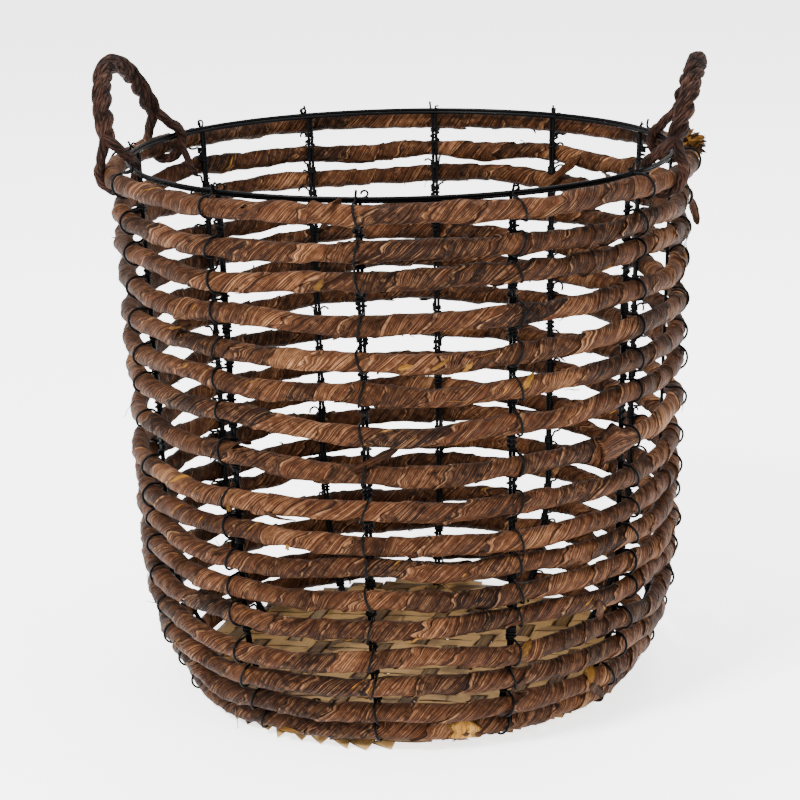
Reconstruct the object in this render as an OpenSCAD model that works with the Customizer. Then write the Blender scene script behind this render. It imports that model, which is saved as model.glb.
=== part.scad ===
// Round log basket: bark coils tied to a black wire frame, a plaited base mat and two rope handles.
// Millimetres. Origin at the centre of the footprint, +Z up, handles on the X axis.

/* [Coils] */
// Radius of the rim coil's centre line
rim_coil_r = 220; // [210:1:225]
// Radius that the straight wall would have at the base coil's height
wall_foot_r = 206; // [196:1:212]
// Outward lean of the wall, in degrees
wall_lean = 1.6; // [0:0.1:4]
// Thickness of one bark-wrapped coil
coil_d = 13.6; // [10:0.2:14.4]
// Height of the base coil's centre line above the floor
base_coil_z = 16; // [16:0.5:22]
// Steps from each coil up to the next, from the base to the rim
coil_steps = [17, 25, 22, 28, 21, 23, 21, 26, 31, 31, 26, 25, 25, 30, 21, 29]; // [17:1:40]

/* [Base turn] */
// Height above the base coil at which the wall starts to curve in
turn_h = 96; // [80:1:120]
// Radius of that curve, at the coils' centres
turn_r = 190; // [160:5:240]

/* [Wire frame] */
// Diameter of every frame wire
wire_d = 2.6; // [2:0.1:3]
// Number of staves round the wall
stave_count = 12; // [12:1:12]
// Distance between the two strands of a stave
strand_gap = 2.9; // [2.8:0.1:3.4]
// Distance from a coil's centre in to the stave's centre
stave_inset = 8.9; // [8.5:0.1:9.6]
// Radius of the bend at the foot of a stave
foot_bend_r = 14; // [8:1:20]
// Distance from the centre of the base to the inner end of a stave
foot_end_r = 141; // [120:1:145]
// Radius of the rim wires, midway between the two
rim_wire_r = 210; // [209:0.5:211]
// Height of the rim wires above the rim coil's centre
rim_wire_rise = 6.6; // [6:0.2:8]
// Radius of the base ring
base_ring_r = 147; // [143:1:150]
// Distance of each base bar from the centre
base_bar_offset = 44; // [30:1:60]
// Turn of the upper pair of base bars from the handle axis, in degrees
base_bar_turn = 15; // [15:1:15]

/* [Ties] */
// Diameter of the tie wire
tie_d = 1.2; // [0.8:0.1:1.4]
// Radius of one tie loop round a coil and a stave
tie_loop_r = 10.9; // [10.7:0.1:11.2]
// Slant of the tie loops across the coil, in degrees
tie_slant = 45; // [40:1:48]
// Radius of the loop that also takes in the rim wires
rim_loop_r = 13.2; // [13:0.1:13.6]
// Distance of that loop's centre outside the rim wires
rim_loop_out = 6.4; // [6:0.1:6.8]
// Slant of that loop, in degrees
rim_loop_slant = 20; // [15:1:25]

/* [Mat] */
// Radius of the plaited mat
mat_r = 178; // [170:1:180]
// Width of one split-bamboo strip
strip_w = 10.4; // [8:0.2:12]
// Distance from one strip to the next
strip_pitch = 13; // [12:0.5:16]
// Thickness of one strip
strip_t = 0.8; // [0.6:0.1:0.9]
// Turn of the weave from the handle axis, in degrees
weave_turn = 0; // [-45:1:45]

/* [Handles] */
// Diameter of the twisted rope
rope_d = 13; // [12:0.5:13.5]
// Diameter of the divided strand that goes round the rim
strand_d = 8.5; // [7:0.5:8.5]
// Distance of the handle's pivot line from the centre
pivot_x = 205.5; // [205:0.5:206]
// Height of the pivot line above the rim coil's centre
pivot_rise = 2.5; // [2:0.5:3]
// Distance from the middle of the handle to each foot
foot_y = 75; // [73:1:76]
// Radius of each eye round the rim, at the middle of the strand
eye_r = 17; // [16.8:0.1:17.2]
// Height of the rope's centre line above the pivot line, at the top
loop_h = 75; // [65:1:85]
// Outward lean of each handle at rest, in degrees
handle_lean = 17; // [0:1:40]

/* [Hidden] */
coil_count = len(coil_steps) + 1;
ROWS = [1:coil_count];
STAVES = [1:stave_count];

wire_r = wire_d / 2;
coil_r = coil_d / 2;
rim_coil_z = coil_z(coil_count);
// Base levels: ring and lower bars on the floor, feet and upper bars on them, then the mat
low_z = wire_r;
high_z = 3 * wire_r;
mat_z = 2 * wire_d + 0.1;
// Centre of the curve that the wall's foot follows
turn_x = wall_foot_r + turn_h * tan(wall_lean) - turn_r * cos(wall_lean);
turn_z = base_coil_z + turn_h + turn_r * sin(wall_lean);
// The two rim wires lie side by side, square to the line from the rim coil
rim_pair_turn = atan2(rim_coil_r - rim_wire_r, rim_wire_rise);
rim_pair_gap = wire_d + 0.2;
wire_rise = rim_pair_gap * sin(rim_pair_turn);
wire_shift = rim_pair_gap * cos(rim_pair_turn);
// The stave runs inside the coils along the same line and curve
stave_turn_r = turn_r - stave_inset;
foot_angle = asin((turn_z - high_z - foot_bend_r) / (stave_turn_r - foot_bend_r));
stave_top_z = rim_coil_z + rim_wire_rise - wire_r - wire_rise / 2;
stave_straight = (stave_top_z - turn_z + stave_turn_r * sin(wall_lean)) / cos(wall_lean);
foot_bend_x = turn_x + (stave_turn_r - foot_bend_r) * cos(foot_angle);
// How far a straight run reaches into a bend, and how much thicker the bend is there
bite = 0.1;
swell = 0.02;
bite_angle = bite / foot_bend_r * 180 / PI;
// The handle's rope is one arc from eye to eye
leg_start_h = eye_r + 3;
arc_drop = (foot_y * foot_y + leg_start_h * leg_start_h - loop_h * loop_h) / (2 * (loop_h - leg_start_h));
arc_r = loop_h + arc_drop;
arc_start = atan2(leg_start_h + arc_drop, foot_y);

function numbered(name, i) = str(name, i < 10 ? "0" : "", i);

// Sum of the first n steps
function steps_sum(n) = n == 0 ? 0 : coil_steps[n - 1] + steps_sum(n - 1);
function coil_z(i) = base_coil_z + steps_sum(i - 1);
// Angle round the foot's curve at which a coil lies, or the wall's lean above the curve
function coil_angle(i) = coil_z(i) > base_coil_z + turn_h ? wall_lean : asin((turn_z - coil_z(i)) / turn_r);
function coil_x(i) =
    i == coil_count ? rim_coil_r :
    coil_z(i) > base_coil_z + turn_h ? wall_foot_r + (coil_z(i) - base_coil_z) * tan(wall_lean) :
    turn_x + turn_r * cos(coil_angle(i));
function stave_angle(i) = (i - 1) * 360 / stave_count;

module ring(ring_r, tube_r) {
    rotate_extrude($fn = 144) translate([ring_r, 0]) circle(r = tube_r, $fn = 24);
}

// Part of a ring that starts on +X and turns towards +Y
module bend(bend_r, tube_r, angle) {
    rotate_extrude(angle = angle, $fn = 144) translate([bend_r, 0]) circle(r = tube_r, $fn = 24);
}

module rim_wire(side) {
    color("#1b1b1b")
    translate([0, 0, rim_coil_z + rim_wire_rise + side * wire_rise / 2])
    ring(rim_wire_r + side * wire_shift / 2, wire_r);
}

module base_ring() {
    color("#1b1b1b") translate([0, 0, low_z]) ring(base_ring_r, wire_r);
}

// A straight bar across the base, parallel to X before it is turned
module base_bar(z, side, turn, reach_r) {
    half = sqrt(reach_r * reach_r - base_bar_offset * base_bar_offset);
    color("#1b1b1b")
    rotate(turn) translate([-half, side * base_bar_offset, z])
    rotate([0, 90, 0]) cylinder(r = wire_r, h = 2 * half, $fn = 24);
}

module base_bar_upper(side) {
    base_bar(high_z, side, base_bar_turn, base_ring_r + wire_r);
}

module base_bar_lower(side) {
    base_bar(low_z, side, base_bar_turn + 90, base_ring_r - wire_r - 0.5);
}

// One strand in the XZ plane: down the wall, round the curve, round the foot bend and in.
// The straight runs reach a little way into the bends, which are a hair thicker.
module stave_strand() {
    translate([turn_x, 0, turn_z]) rotate([90, 0, 0]) {
        rotate(-foot_angle) bend(stave_turn_r, wire_r + swell, foot_angle - wall_lean);
        rotate(-wall_lean) translate([stave_turn_r, -bite, 0])
            rotate([-90, 0, 0]) cylinder(r = wire_r, h = stave_straight + bite, $fn = 24);
    }
    translate([foot_bend_x, 0, high_z + foot_bend_r]) rotate([90, 0, 0])
        rotate(-90) bend(foot_bend_r, wire_r + 2 * swell, 90 - foot_angle + bite_angle);
    translate([foot_end_r - bite, 0, high_z])
        rotate([0, 90, 0]) cylinder(r = wire_r, h = foot_bend_x - foot_end_r + 2 * bite, $fn = 24);
}

// A stave is one wire bent double at its inner end
module stave(i) {
    color("#202020") rotate(stave_angle(i)) union() {
        for (side = [-1, 1]) translate([0, side * strand_gap / 2, 0]) stave_strand();
        translate([foot_end_r, 0, high_z]) rotate(90) bend(strand_gap / 2, wire_r + swell, 180);
    }
}

module bark_coil(i) {
    color("#6e4830") translate([0, 0, coil_z(i)]) ring(coil_x(i), coil_r);
}

// One wire loop, slanted across the coil from the upright
module slanted_loop(loop_r, slant) {
    rotate([slant - 90, 0, 0]) rotate_extrude($fn = 48) translate([loop_r, 0]) circle(r = tie_d / 2, $fn = 16);
}

// Lashes a coil to the stave
module tie_loop(i) {
    angle = coil_angle(i);
    inset = (stave_inset + wire_r - coil_r) / 2;
    translate([coil_x(i) - inset * cos(angle), 0, coil_z(i) + inset * sin(angle)])
    rotate([0, angle, 0]) slanted_loop(tie_loop_r, tie_slant);
}

// One loop round the stave at each coil, and a wider one round the rim coil and the rim wires
module tie_wire(i) {
    color("#151515") rotate(stave_angle(i)) {
        for (row = [1:coil_count - 1]) tie_loop(row);
        translate([rim_wire_r + rim_loop_out, 0, rim_coil_z]) slanted_loop(rim_loop_r, rim_loop_slant);
    }
}

// Room in the mat where the strands of each stave come through
module stave_slots() {
    for (i = STAVES) rotate(stave_angle(i))
        translate([foot_bend_x + 1, -strand_gap - 1, -1])
        cube([foot_bend_r - 1, 2 * strand_gap + 2, mat_z + 4 * strip_t + 2]);
}

// Parallel strips cut to the round of the base
module mat_layer(level, turn) {
    strips = floor(mat_r / strip_pitch);
    color("#8a6a3c") difference() {
        intersection() {
            translate([0, 0, mat_z + level * strip_t]) cylinder(r = mat_r, h = strip_t, $fn = 144);
            rotate(weave_turn + turn) for (i = [-strips:strips])
                translate([-mat_r, i * strip_pitch - strip_w / 2, 0])
                cube([2 * mat_r, strip_w, mat_z + 4 * strip_t]);
        }
        stave_slots();
    }
}

// Rope loop with an eye at each foot, lying in the YZ plane with its pivot line on Y
module rope_handle() {
    color("#3c2a24") union() {
        translate([0, 0, -arc_drop]) rotate([90, 0, 90])
            rotate(arc_start) bend(arc_r, rope_d / 2, 180 - 2 * arc_start);
        for (side = [-1, 1]) translate([0, side * foot_y, 0]) rotate([90, 0, 0])
            rotate_extrude($fn = 96) translate([eye_r, 0]) circle(r = strand_d / 2, $fn = 32);
    }
}

module handle(side) {
    translate([side * pivot_x, 0, rim_coil_z + pivot_rise]) rotate([0, side * handle_lean, 0]) rope_handle();
}

rim_wire(1);  // rim_wire_upper
rim_wire(-1);  // rim_wire_lower
base_ring();
base_bar_upper(-1);  // base_bar_upper_front
base_bar_upper(1);  // base_bar_upper_back
base_bar_lower(1);  // base_bar_lower_left
base_bar_lower(-1);  // base_bar_lower_right
for (i = STAVES) stave(i);
for (i = ROWS) bark_coil(i);
for (i = STAVES) tie_wire(i);
mat_layer(0, 0);  // mat_strips_lower
mat_layer(1, 90);  // mat_strips_upper
handle(-1);  // left_handle
handle(1);  // right_handle
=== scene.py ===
"""Round log basket: bark coils tied to a black wire frame, a plaited base mat and two rope handles."""

import logging
import math
from dataclasses import dataclass
from enum import Enum

import bpy
import numpy as np
from mathutils import Matrix, Vector


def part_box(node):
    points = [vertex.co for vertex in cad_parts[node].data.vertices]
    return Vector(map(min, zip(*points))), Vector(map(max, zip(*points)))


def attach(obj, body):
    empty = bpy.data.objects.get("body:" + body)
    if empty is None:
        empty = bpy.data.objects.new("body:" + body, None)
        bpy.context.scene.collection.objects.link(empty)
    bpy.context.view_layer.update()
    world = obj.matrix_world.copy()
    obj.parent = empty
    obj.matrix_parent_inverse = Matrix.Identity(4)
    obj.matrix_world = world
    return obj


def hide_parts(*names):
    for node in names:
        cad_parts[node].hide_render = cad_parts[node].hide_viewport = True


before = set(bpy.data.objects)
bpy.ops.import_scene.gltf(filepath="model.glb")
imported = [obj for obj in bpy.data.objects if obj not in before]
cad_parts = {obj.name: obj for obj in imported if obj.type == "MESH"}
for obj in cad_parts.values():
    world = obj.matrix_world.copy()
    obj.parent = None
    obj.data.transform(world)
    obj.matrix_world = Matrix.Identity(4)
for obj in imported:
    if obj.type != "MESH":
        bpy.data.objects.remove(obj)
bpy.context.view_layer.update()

log = logging.getLogger("basket")
Colour = tuple[float, float, float]  # red, green and blue, 0 to 1
MM = 0.001
STAVES = 12
COILS = 17
GRAIN = 43.0  # millimetres along a strip for one unit of its pattern


class Slot(Enum):
    """The record's material slots."""

    BARK = "bark"
    FRAME_WIRE = "frame_wire"
    TIE_WIRE = "tie_wire"
    BAMBOO = "split_bamboo"
    ROPE = "rope"


class Side(Enum):
    """The two handles, by the sign of their place on the X axis."""

    LEFT = -1
    RIGHT = 1


# ---------------------------------------------------------------- surfaces


@dataclass
class Surface:
    """One or more closed surfaces in millimetres.

    Attributes:
        points: Corner points, n by 3.
        quads: Four-cornered faces, m by 4 point numbers.
        tris: Three-cornered faces, k by 3 point numbers.
        quad_uv: Pattern place of each quad corner, m by 4 by 2.
        tri_uv: Pattern place of each triangle corner, k by 3 by 2.
    """

    points: np.ndarray
    quads: np.ndarray
    tris: np.ndarray
    quad_uv: np.ndarray
    tri_uv: np.ndarray

    @staticmethod
    def join(parts: list["Surface"]) -> "Surface":
        """Puts surfaces together as one, each with its own points."""
        starts = np.cumsum([0] + [len(p.points) for p in parts[:-1]])
        return Surface(
            np.concatenate([p.points for p in parts]),
            np.concatenate([p.quads + s for p, s in zip(parts, starts)]),
            np.concatenate([p.tris + s for p, s in zip(parts, starts)]),
            np.concatenate([p.quad_uv for p in parts]),
            np.concatenate([p.tri_uv for p in parts]),
        )

    def outward(self) -> "Surface":
        """Turns every face over when the enclosed volume comes out negative."""
        a, b, c, d = (self.points[self.quads[:, k]] for k in range(4))
        volume = np.einsum("ij,ij->", a, np.cross(b, c)) + np.einsum("ij,ij->", a, np.cross(c, d))
        if len(self.tris):
            e, f, g = (self.points[self.tris[:, k]] for k in range(3))
            volume += np.einsum("ij,ij->", e, np.cross(f, g))
        if volume >= 0:
            return self
        return Surface(
            self.points, self.quads[:, ::-1], self.tris[:, ::-1], self.quad_uv[:, ::-1], self.tri_uv[:, ::-1]
        )

    def piece(self, name: str, material: bpy.types.Material, slot: Slot, body: str) -> bpy.types.Object:
        """Makes the surface an object that rides on a CAD body.

        Args:
            name: The piece's name.
            material: Its finish.
            slot: The record's material slot; not used.
            body: The CAD body it moves with.

        Returns:
            The new object, at the origin.
        """
        mesh = bpy.data.meshes.new(name)
        corners = np.concatenate([self.quads.ravel(), self.tris.ravel()]).astype(np.int32)
        split = len(self.quads) * 4
        starts = np.concatenate(
            [np.arange(len(self.quads)) * 4, split + np.arange(len(self.tris)) * 3]
        ).astype(np.int32)
        uv = np.concatenate([self.quad_uv.reshape(-1, 2), self.tri_uv.reshape(-1, 2)])
        mesh.vertices.add(len(self.points))
        mesh.vertices.foreach_set("co", (self.points * MM).astype(np.float32).ravel())
        mesh.loops.add(len(corners))
        mesh.loops.foreach_set("vertex_index", corners)
        mesh.polygons.add(len(starts))
        mesh.polygons.foreach_set("loop_start", starts)
        mesh.update(calc_edges=True)
        mesh.polygons.foreach_set("use_smooth", np.ones(len(starts), bool))
        mesh.uv_layers.new(name="lay").data.foreach_set("uv", uv.astype(np.float32).ravel())
        mesh.materials.append(material)
        mesh.validate()
        piece = bpy.data.objects.new(name, mesh)
        bpy.context.scene.collection.objects.link(piece)
        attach(piece, body)
        log.info("%s: %d points, %d faces, on %s", name, len(self.points), len(starts), body)
        return piece


def loft(rings: np.ndarray, along: np.ndarray, across: np.ndarray, closed: bool = False) -> Surface:
    """Skins a row of rings: quads between neighbouring rings, and a fan to the middle of each end ring.

    Args:
        rings: n rings of m points.
        along: n pattern places along the skin.
        across: m + 1 pattern places round a ring.
        closed: Whether the last ring joins the first.

    Returns:
        The closed surface, facing outwards.
    """
    n, m = rings.shape[:2]
    points = rings.reshape(-1, 3)
    spans = n if closed else n - 1
    i, j = (k.ravel() for k in np.meshgrid(np.arange(spans), np.arange(m), indexing="ij"))
    i2, j2 = (i + 1) % n, (j + 1) % m
    quads = np.stack([i * m + j, i * m + j2, i2 * m + j2, i2 * m + j], 1)
    step = along[-1] - along[-2]
    ends = np.append(along, along[-1] + step)
    quad_uv = np.stack(
        [
            np.stack([across[j], ends[i]], -1),
            np.stack([across[j + 1], ends[i]], -1),
            np.stack([across[j + 1], ends[i + 1]], -1),
            np.stack([across[j], ends[i + 1]], -1),
        ],
        1,
    )
    tris, tri_uv = np.zeros((0, 3), int), np.zeros((0, 3, 2))
    if not closed:
        k = np.arange(m)
        k2 = (k + 1) % m
        first, last = np.full(m, n * m), np.full(m, n * m + 1)
        points = np.vstack([points, rings[0].mean(0), rings[-1].mean(0)])
        end = (n - 1) * m
        tris = np.vstack([np.stack([first, k2, k], 1), np.stack([last, end + k, end + k2], 1)])
        middle = np.full(m, across.mean())
        cap = [
            np.stack([np.stack([u, np.full(m, v)], -1) for u in (middle, across[k], across[k + 1])], 1)
            for v in (along[0], along[-1])
        ]
        tri_uv = np.vstack(cap)
    return Surface(points, quads, tris, quad_uv, tri_uv).outward()


def unit(vectors: np.ndarray) -> np.ndarray:
    """Vectors divided by their lengths."""
    return vectors / np.maximum(np.linalg.norm(vectors, axis=-1, keepdims=True), 1e-9)


def tangents(path: np.ndarray, closed: bool = False) -> np.ndarray:
    """Unit directions along a path: half the step from the point before to the point after."""
    if closed:
        return unit(np.roll(path, -1, 0) - np.roll(path, 1, 0))
    return unit(np.gradient(path, axis=0))


def resample(path: np.ndarray, count: int) -> np.ndarray:
    """Points at equal distances along a path, by straight lines between its points."""
    length = np.append(0, np.cumsum(np.linalg.norm(np.diff(path, axis=0), axis=1)))
    where = np.linspace(0, length[-1], count)
    return np.stack([np.interp(where, length, path[:, k]) for k in range(3)], 1)


def tube(
    path: np.ndarray,
    guide: np.ndarray,
    radius: np.ndarray,
    along: np.ndarray,
    sides: int = 12,
    closed: bool = False,
    lobes: np.ndarray | None = None,
) -> Surface:
    """Carries a round along a path: centre + radius * (cos turn * side + sin turn * up).

    Args:
        path: n centre points.
        guide: n vectors that stay clear of the path's direction; side is their part square to it.
        radius: n radii.
        along: n pattern places.
        sides: Points round the tube.
        closed: Whether the path closes on itself.
        lobes: n by sides factors on the radius, for ridges.

    Returns:
        The closed tube.
    """
    direction = tangents(path, closed)
    side = unit(guide - (guide * direction).sum(1, keepdims=True) * direction)
    up = np.cross(direction, side)
    turn = np.linspace(0, 2 * np.pi, sides, endpoint=False)
    reach = radius[:, None] * (1 if lobes is None else lobes)
    rings = (
        path[:, None]
        + (reach * np.cos(turn))[..., None] * side[:, None]
        + (reach * np.sin(turn))[..., None] * up[:, None]
    )
    return loft(rings, along, np.linspace(0, 1, sides + 1), closed)


def ribbon(
    path: np.ndarray,
    face: np.ndarray,
    width: np.ndarray,
    thickness: float,
    along: np.ndarray,
    strip: float,
    cup: float = 0.0,
) -> Surface:
    """Carries a thin lens along a path: the lens lies square to the face vector.

    Args:
        path: n centre points.
        face: n vectors out of the ribbon's face.
        width: n widths.
        thickness: Thickness in the middle of the ribbon.
        along: n pattern places.
        strip: Whole number that picks the ribbon's own stretch of the pattern.
        cup: How far its edges bend away from the face, as a share of a quarter of the width.

    Returns:
        The closed ribbon.
    """
    direction = tangents(path)
    side = unit(np.cross(face, direction))
    out = np.cross(direction, side)
    across = np.array([-0.5, -0.28, 0.0, 0.28, 0.5, 0.28, 0.0, -0.28])
    raised = np.array([0.0, 0.42, 0.5, 0.42, 0.0, -0.42, -0.5, -0.42]) * thickness
    rings = (
        path[:, None]
        + (width[:, None] * across)[..., None] * side[:, None]
        + (raised - cup * width[:, None] * across**2)[..., None] * out[:, None]
    )
    places = strip + 0.06 + 0.88 * np.append(across + 0.5, across[0] + 0.5)
    return loft(rings, along, places)


class Ripple:
    """A steady random wave round the basket: a sum of cosines with whole numbers of waves, of rms 1."""

    def __init__(
        self, rng: np.random.Generator, low: int, high: int, count: int = 12, slant: int = 0
    ) -> None:
        """Picks the cosines.

        Args:
            rng: Seeded source of numbers.
            low: Fewest waves in a full turn.
            high: Most waves in a full turn.
            count: How many cosines.
            slant: Most waves the other way, round the coil.
        """
        self.waves = rng.integers(low, high + 1, count)
        self.slants = rng.integers(-slant, slant + 1, count)
        self.starts = rng.uniform(0, 2 * np.pi, count)
        self.scale = math.sqrt(2 / count)

    def __call__(self, angle: np.ndarray, turn: np.ndarray | float = 0.0) -> np.ndarray:
        """The sum of cos(waves * angle + slant * turn + start), scaled.

        Args:
            angle: Angles round the basket.
            turn: Angles round the coil.

        Returns:
            The wave's height at each place.
        """
        total = np.zeros(np.broadcast(angle, turn).shape)
        for wave, slant, start in zip(self.waves, self.slants, self.starts):
            total = total + np.cos(wave * angle + slant * turn + start)
        return total * self.scale


# ---------------------------------------------------------------- finishes


class Bench:
    """A new node material and short ways to add nodes to it."""

    def __init__(self, name: str) -> None:
        """Starts the material with its shader and output."""
        self.material = bpy.data.materials.new(name)
        self.material.use_nodes = True
        self.nodes = self.material.node_tree.nodes
        self.links = self.material.node_tree.links
        self.shader = self.nodes["Principled BSDF"]

    def put(self, socket: bpy.types.NodeSocket, value: object) -> None:
        """Links a socket to an input, or sets the input to a plain value."""
        if isinstance(value, bpy.types.NodeSocket):
            self.links.new(value, socket)
        else:
            socket.default_value = value

    def place(self, object_space: bool = False) -> bpy.types.NodeSocket:
        """The piece's own lay of the pattern, or its place in the object."""
        if object_space:
            return self.nodes.new("ShaderNodeTexCoord").outputs["Object"]
        node = self.nodes.new("ShaderNodeUVMap")
        node.uv_map = "lay"
        return node.outputs["UV"]

    def maths(self, operation: str, a: object, b: object = 0.0, c: object = 0.0) -> bpy.types.NodeSocket:
        """One Math node, with sockets or plain numbers as its inputs."""
        node = self.nodes.new("ShaderNodeMath")
        node.operation = operation
        for socket, value in zip(node.inputs, (a, b, c)):
            self.put(socket, value)
        return node.outputs[0]

    def split(self, vector: bpy.types.NodeSocket) -> tuple[bpy.types.NodeSocket, ...]:
        """A vector's three parts."""
        node = self.nodes.new("ShaderNodeSeparateXYZ")
        self.put(node.inputs[0], vector)
        return tuple(node.outputs)

    def vector(self, x: object, y: object, z: object = 0.0) -> bpy.types.NodeSocket:
        """A vector from three parts."""
        node = self.nodes.new("ShaderNodeCombineXYZ")
        for socket, value in zip(node.inputs, (x, y, z)):
            self.put(socket, value)
        return node.outputs[0]

    def noise(self, vector: bpy.types.NodeSocket, scale: float, detail: float = 2.0) -> bpy.types.NodeSocket:
        """A Noise Texture's value, from 0 to 1."""
        node = self.nodes.new("ShaderNodeTexNoise")
        node.inputs["Scale"].default_value = scale
        node.inputs["Detail"].default_value = detail
        self.put(node.inputs["Vector"], vector)
        return node.outputs["Fac"]

    def chance(self, vector: bpy.types.NodeSocket) -> bpy.types.NodeSocket:
        """One steady random value for each whole place."""
        node = self.nodes.new("ShaderNodeTexWhiteNoise")
        self.put(node.inputs["Vector"], vector)
        return node.outputs["Value"]

    def band(
        self, value: object, low: float, high: float, start: float = 0.0, end: float = 1.0
    ) -> bpy.types.NodeSocket:
        """A smooth step from start at low to end at high."""
        node = self.nodes.new("ShaderNodeMapRange")
        node.interpolation_type = "SMOOTHSTEP"
        for socket, item in zip(node.inputs, (value, low, high, start, end)):
            self.put(socket, item)
        return node.outputs[0]

    def ramp(self, value: bpy.types.NodeSocket, stops: list[tuple[float, Colour]]) -> bpy.types.NodeSocket:
        """A colour for each value, straight between the stops."""
        node = self.nodes.new("ShaderNodeValToRGB")
        elements = node.color_ramp.elements
        while len(elements) < len(stops):
            elements.new(0.5)
        for element, (where, colour) in zip(elements, stops):
            element.position = where
            element.color = (*colour, 1.0)
        self.put(node.inputs[0], value)
        return node.outputs[0]

    def mix(self, factor: object, a: object, b: object) -> bpy.types.NodeSocket:
        """One colour Mix node, from colour a at factor 0 to colour b at factor 1."""
        node = self.nodes.new("ShaderNodeMix")
        node.data_type = "RGBA"
        for name, value in (("Factor_Float", factor), ("A_Color", a), ("B_Color", b)):
            socket = next(s for s in node.inputs if s.identifier == name)
            self.put(socket, (*value, 1.0) if isinstance(value, tuple) else value)
        return next(s for s in node.outputs if s.identifier == "Result_Color")

    def bump(self, height: bpy.types.NodeSocket, depth: float) -> None:
        """Raises the surface by the height value, over a depth in metres."""
        node = self.nodes.new("ShaderNodeBump")
        node.inputs["Distance"].default_value = depth
        node.inputs["Strength"].default_value = 1.0
        self.put(node.inputs["Height"], height)
        self.links.new(node.outputs[0], self.shader.inputs["Normal"])

    def dress(self, **values: object) -> bpy.types.Material:
        """Sets the shader's inputs, with underscores for spaces, and gives the material."""
        for name, value in values.items():
            self.put(self.shader.inputs[name.replace("_", " ")], value)
        return self.material


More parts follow.
